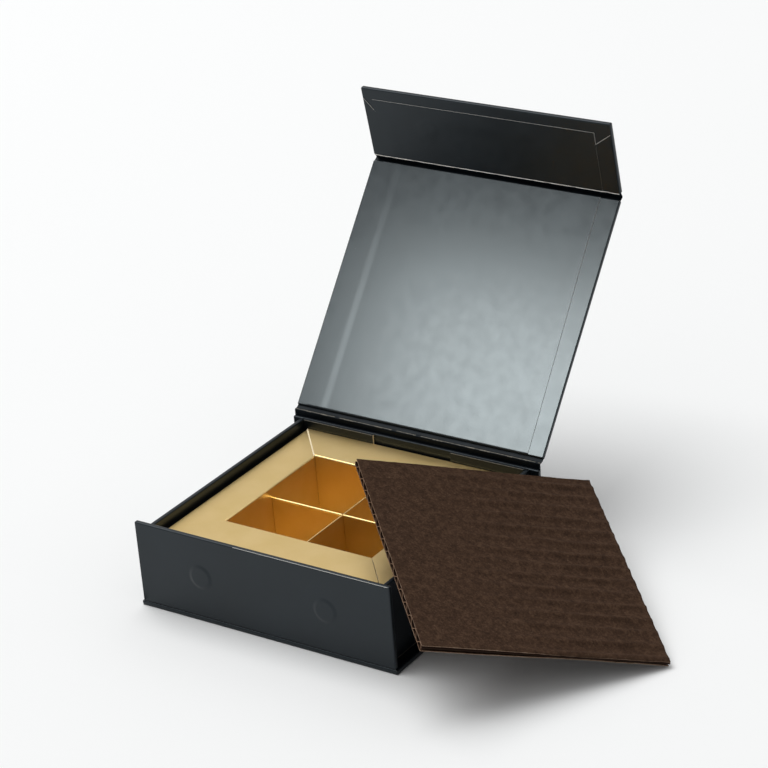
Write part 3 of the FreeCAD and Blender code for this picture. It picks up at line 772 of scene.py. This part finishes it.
def build_tray():
    """Skirt, rim, cell walls and floor of one gold blank. Its four corners are mitred on the rim."""
    low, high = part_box("tray")
    centre = (low + high) / 2
    fit = 0.1 * MM
    half_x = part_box("divider_long")[1].x + fit
    half_y = (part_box("divider_cross")[1].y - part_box("divider_cross")[0].y) / 2 + fit
    rim_x = (high.x - low.x) / 2 - half_x
    rim_y = (high.y - low.y) / 2 - half_y
    bm = bmesh.new()
    # Right, back, left and front, each with its clockwise end first
    tight, slit, lift = 0.02 * MM, 0.35 * MM, 0.45 * MM
    ends = [
        ((slit, 0), (slit, 0)),
        ((slit, 0), (slit, lift)),
        ((tight, 0), (tight, 0)),
        ((tight, 0), (slit, 0)),
    ]
    for quarter in range(4):
        along_x = quarter % 2 == 0
        opening = (half_x, half_y) if along_x else (half_y, half_x)
        rim = (rim_x, rim_y) if along_x else (rim_y, rim_x)
        add_tray_side(bm, quarter * math.pi / 2, opening, rim, (low.z, high.z), ends[quarter])
    bottom = [(-half_x, -half_y), (half_x, -half_y), (half_x, half_y), (-half_x, half_y)]
    bm.faces.new([bm.verts.new((x, y, low.z + CARD)) for x, y in bottom])
    bmesh.ops.translate(bm, vec=(centre.x, centre.y, 0), verts=bm.verts)
    tray = new_piece("gold_tray", bm, [GOLD, CUT_EDGE], "case", ["tray"])
    card = tray.modifiers.new("card", "SOLIDIFY")
    card.thickness = CARD
    card.offset = -1.0
    card.use_even_offset = True
    card.material_offset_rim = 1
    keep_faces_flat(tray)
    # The pale cut edge along the mitre at the back left
    outer = Vector((low.x + 0.6 * MM, high.y - 0.6 * MM, high.z))
    inner = Vector((centre.x - half_x - 0.3 * MM, centre.y + half_y + 0.3 * MM, high.z))
    edge = bmesh.new()
    add_core_and_highlight_ridge(edge, outer, inner, UP, width=0.9 * MM, finish=0)
    new_piece("tray_mitre_edge", edge, [CUT_EDGE], "case")


def build_divider(node, along):
    """A slotted strip of doubled gold card, along X or Y as axis 0 or 1.

    The long one is folded over, so its top is a bead. The other one's top is pressed flat.
    """
    low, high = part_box(node)
    middle = (low + high) / 2
    across = 1 - along
    half = (high - low) / 2
    folded = node == "divider_long"
    swell = 0.1 * MM if folded else 0
    bead = 0.55 * MM
    slot = half[across] + swell
    open_end, shut_end = (high.z, low.z) if folded else (low.z, high.z)
    outline = [
        (-half[along], shut_end), (half[along], shut_end), (half[along], open_end),
        (slot, open_end), (slot, middle.z), (-slot, middle.z), (-slot, open_end), (-half[along], open_end),
    ]
    bm = bmesh.new()
    points = []
    for u, z in outline:
        point = Vector((0, 0, min(z, high.z - bead) if folded else z))
        point[along] = middle[along] + u
        point[across] = low[across] - swell
        points.append(bm.verts.new(point))
    front = bm.faces.new(points)
    grown = bmesh.ops.extrude_face_region(bm, geom=[front])["geom"]
    move = Vector((0, 0, 0))
    move[across] = high[across] - low[across] + 2 * swell
    bmesh.ops.translate(bm, vec=move, verts=vertices_of(grown))
    bmesh.ops.recalc_face_normals(bm, faces=bm.faces)
    if folded:
        length = half[along] - slot
        for side in (-1, 1):
            centre = middle.copy()
            centre[along] += side * (slot + length / 2)
            centre.z = high.z - bead
            lay = Matrix.Translation(centre) @ Matrix.Rotation(math.pi / 2, 4, "Y")
            bmesh.ops.create_cone(
                bm, cap_ends=True, segments=24, radius1=bead, radius2=bead, depth=length, matrix=lay,
            )
    else:
        top_edges = [
            edge for edge in bm.edges if min(vertex.co.z for vertex in edge.verts) > high.z - SLIVER
        ]
        long_edges = [edge for edge in top_edges if edge.calc_length() > half[along]]
        round_edges(bm, long_edges, radius=0.25 * MM, segments=3)
    keep_faces_flat(new_piece(f"{node}_card", bm, [GOLD], "case", [node]))


# Corrugated pad


def pad_sizes():
    """Length across and along the flutes, thickness of a paper, and the whole thickness."""
    back = local_box("pad_back", PAD_PLACE)[1]
    return back.x, back.y, back.z, local_box("pad_face", PAD_PLACE)[1].z


def washboard(point, along, pitch):
    """How far a paper hangs between the flutes' crests, from 0 to 1.

    It hardly hangs on the left and more to the right, unevenly, and a little less beside its right edge.
    """
    fade_end, fade_length = 0.8 * along, 0.45 * along
    fade = 0.06 + 0.94 * smooth_step((fade_end - point.y) / fade_length)
    patch = 0.85 + 0.6 * noise.noise(Vector((point.x * per_mm(9), point.y * per_mm(26), 0)))
    stray = 0.08 * noise.noise(Vector((point.x * per_mm(12), point.y * per_mm(16), 5)))
    ridge = 0.5 + 0.5 * math.cos(2 * math.pi * (point.x / pitch - 0.25 + stray))
    edge = 0.5 + 0.5 * min(1.0, point.y / (12 * MM))
    return edge * fade * min(1.0, max(0.0, patch)) * (1 - ridge ** 2.2)


def build_pad_sheet(node, flutes):
    """Face or back paper, drawn in over the flutes as a washboard, with a slightly ragged cut edge."""
    across, along, paper, top = pad_sizes()
    pitch = across / flutes
    margin, hang = 0.04 * MM, 0.92 * MM
    crest, way = (top - margin, -1) if node == "pad_face" else (margin, 1)
    bm = bmesh.new()
    bmesh.ops.create_grid(bm, x_segments=flutes * 14, y_segments=100, size=0.5)
    bmesh.ops.translate(bm, vec=(0.5, 0.5, 0), verts=bm.verts)
    bmesh.ops.scale(bm, vec=(across, along, 1), verts=bm.verts)
    for vertex in bm.verts:
        point = vertex.co.copy()
        if vertex.is_boundary:
            ragged = 0.12 * MM * (1 + noise.noise(point * per_mm(2.5)))
            vertex.co.x = min(max(point.x, ragged), across - ragged)
            vertex.co.y = min(max(point.y, ragged), along - ragged)
        vertex.co.z = crest + way * hang * washboard(point, along, pitch)
    bmesh.ops.transform(bm, matrix=PAD_PLACE, verts=bm.verts)
    sheet = new_piece(f"{node}_sheet", bm, [KRAFT, KRAFT_CUT], "pad", [node])
    thick = sheet.modifiers.new("paper", "SOLIDIFY")
    thick.thickness = paper
    thick.offset = -1.0 if node == "pad_face" else 1.0
    thick.material_offset_rim = 1


def build_pad():
    """Both papers of the pad. The fluting between them is the CAD node."""
    flutes = round(pad_sizes()[0] / FLUTE_PITCH)
    build_pad_sheet("pad_face", flutes)
    build_pad_sheet("pad_back", flutes)


# Studio


def add_stage_sheet(name, low, high, level, colour):
    """A flat matt sheet that belongs to the studio."""
    bm = bmesh.new()
    bmesh.ops.create_grid(bm, x_segments=1, y_segments=1, size=0.5)
    bmesh.ops.scale(bm, vec=(high[0] - low[0], high[1] - low[1], 1), verts=bm.verts)
    bmesh.ops.translate(bm, vec=((low[0] + high[0]) / 2, (low[1] + high[1]) / 2, level), verts=bm.verts)
    mesh = bpy.data.meshes.new(name)
    bm.to_mesh(mesh)
    bm.free()
    material, _, shader, _ = new_material(f"{name}_paper")
    shader.inputs["Base Color"].default_value = linear(colour)
    shader.inputs["Roughness"].default_value = 0.9
    shader.inputs["Specular IOR Level"].default_value = 0.1
    mesh.materials.append(material)
    sheet = bpy.data.objects.new(name, mesh)
    scene.collection.objects.link(sheet)
    return sheet


def build_stage():
    """A pale floor that fills the view, and a black flag beside the box that only reflections show."""
    reach = 14
    add_stage_sheet("floor", (-reach, -reach), (reach, reach), 0, "#F6F7F7")
    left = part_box("left_board")[0].x
    low, high = (left - 95 * MM, -60 * MM), (left - 6 * MM, 150 * MM)
    flag = add_stage_sheet("flag", low, high, 0.5 * MM, "#050505")
    flag.visible_camera = False
    flag.visible_diffuse = False
    flag.visible_shadow = False


def add_softbox(name, place, aim, size, power, colour=(1, 1, 1)):
    """A rectangular lamp facing its aim, level along its first side. Place and aim are in millimetres."""
    lamp = bpy.data.lights.new(name, "AREA")
    lamp.shape = "RECTANGLE"
    lamp.size, lamp.size_y = size
    lamp.energy = power
    lamp.color = colour
    place, aim = Vector(place) * MM, Vector(aim) * MM
    out = (place - aim).normalized()
    across = out.cross((0, 0, 1)).normalized()
    axes = Matrix((across, out.cross(across), out)).transposed().to_4x4()
    holder = bpy.data.objects.new(name, lamp)
    holder.matrix_world = Matrix.Translation(place) @ axes
    holder.visible_camera = False
    scene.collection.objects.link(holder)
    return holder


def light_only(lamp, pieces):
    """Keeps a lamp's light to some of the pieces."""
    lit = bpy.data.collections.new(f"{lamp.name}_lights")
    for name in pieces:
        lit.objects.link(bpy.data.objects[name])
    lamp.light_linking.receiver_collection = lit


def build_light():
    """A big softbox overhead on the left, and a room that is brighter behind the box.

    A card is mirrored by the lid and the crease of the flap alone, to match the soft glare that the lining
    shows, and a lamp high on the right lights the gold alone.
    """
    world = bpy.data.worlds.new("studio")
    world.use_nodes = True
    tree = world.node_tree
    way = add_node(tree, "ShaderNodeTexCoord").outputs["Generated"]
    facing = add_node(
        tree, "ShaderNodeVectorMath", {0: way, 1: (-0.35, 0.75, 0.56)}, operation="DOT_PRODUCT",
    )
    level = add_node(
        tree, "ShaderNodeMapRange",
        {"Value": facing.outputs["Value"], "From Min": -0.6, "To Min": 0.22, "To Max": 0.62},
    )
    background = tree.nodes["Background"]
    background.inputs["Color"].default_value = (1, 1, 1, 1)
    tree.links.new(level.outputs["Result"], background.inputs["Strength"])
    scene.world = world
    add_softbox("overhead_softbox", place=(-2200, 0, 5500), aim=(0, 0, 0), size=(5.0, 5.0), power=260.0)
    card = add_softbox(
        "lining_card", place=(-17, -106, 244), aim=(0, 90, 80), size=(0.344, 0.129), power=2.75,
        colour=(1.06, 1.04, 0.98),
    )
    card.visible_diffuse = False
    light_only(card, ["lid_skin", "lid_lining", "flap_crease"])
    fill = add_softbox("tray_fill", place=(415, 110, 800), aim=(0, 0, 20), size=(0.5, 0.5), power=8.5)
    light_only(fill, ["gold_tray", "divider_long_card", "divider_cross_card"])


def build_camera():
    """The photograph's view: bearing, height and roll in degrees, and lengths in millimetres."""
    bearing, height, roll = (math.radians(angle) for angle in (35.49, 25.16, -4.73))
    distance, target = 1068.18 * MM, Vector((26.13, 0, 90.25)) * MM
    level = math.cos(height)
    away = Vector((math.sin(bearing) * level, -math.cos(bearing) * level, math.sin(height)))
    lens = bpy.data.cameras.new("camera")
    lens.sensor_width = 36.0
    lens.lens = 130.978
    camera = bpy.data.objects.new("camera", lens)
    turn = away.to_track_quat("Z", "Y").to_matrix().to_4x4() @ Matrix.Rotation(roll, 4, "Z")
    camera.matrix_world = Matrix.Translation(target + away * distance) @ turn
    scene.collection.objects.link(camera)
    scene.camera = camera


def dress_cad_nodes():
    """Finishes for the CAD pieces that show as they are."""
    finishes = {
        "black_paper": OUTER_PAPER,
        "black_lining": LINING_PAPER,
        "greyboard": GREY_BOARD,
        "gold_card": GOLD,
        "brown_corrugated": FLUTING,
        "magnet": MAGNET,
        "tape": CUT_EDGE,
    }
    for part in frame["record"]["subparts"]:
        node = frame["nodes"][part["node"]]
        node.data.materials.clear()
        node.data.materials.append(finishes[part["material_slot"]])


dress_cad_nodes()
build_case_skin()
build_wall_skin("left")
build_wall_skin("right")
build_wall_linings()
build_panel_skin("lid", LID_PLACE, nose=0.65 * MM)
build_panel_skin("flap", FLAP_PLACE, nose=0.6 * MM)
build_lid_lining()
build_flap_lining()
build_flap_crease()
build_flap_turn_ins()
build_hinge_strips()
build_tray()
build_divider("divider_long", along=0)
build_divider("divider_cross", along=1)
build_pad()
build_stage()
build_light()
build_camera()
scene.view_settings.view_transform = "Standard"
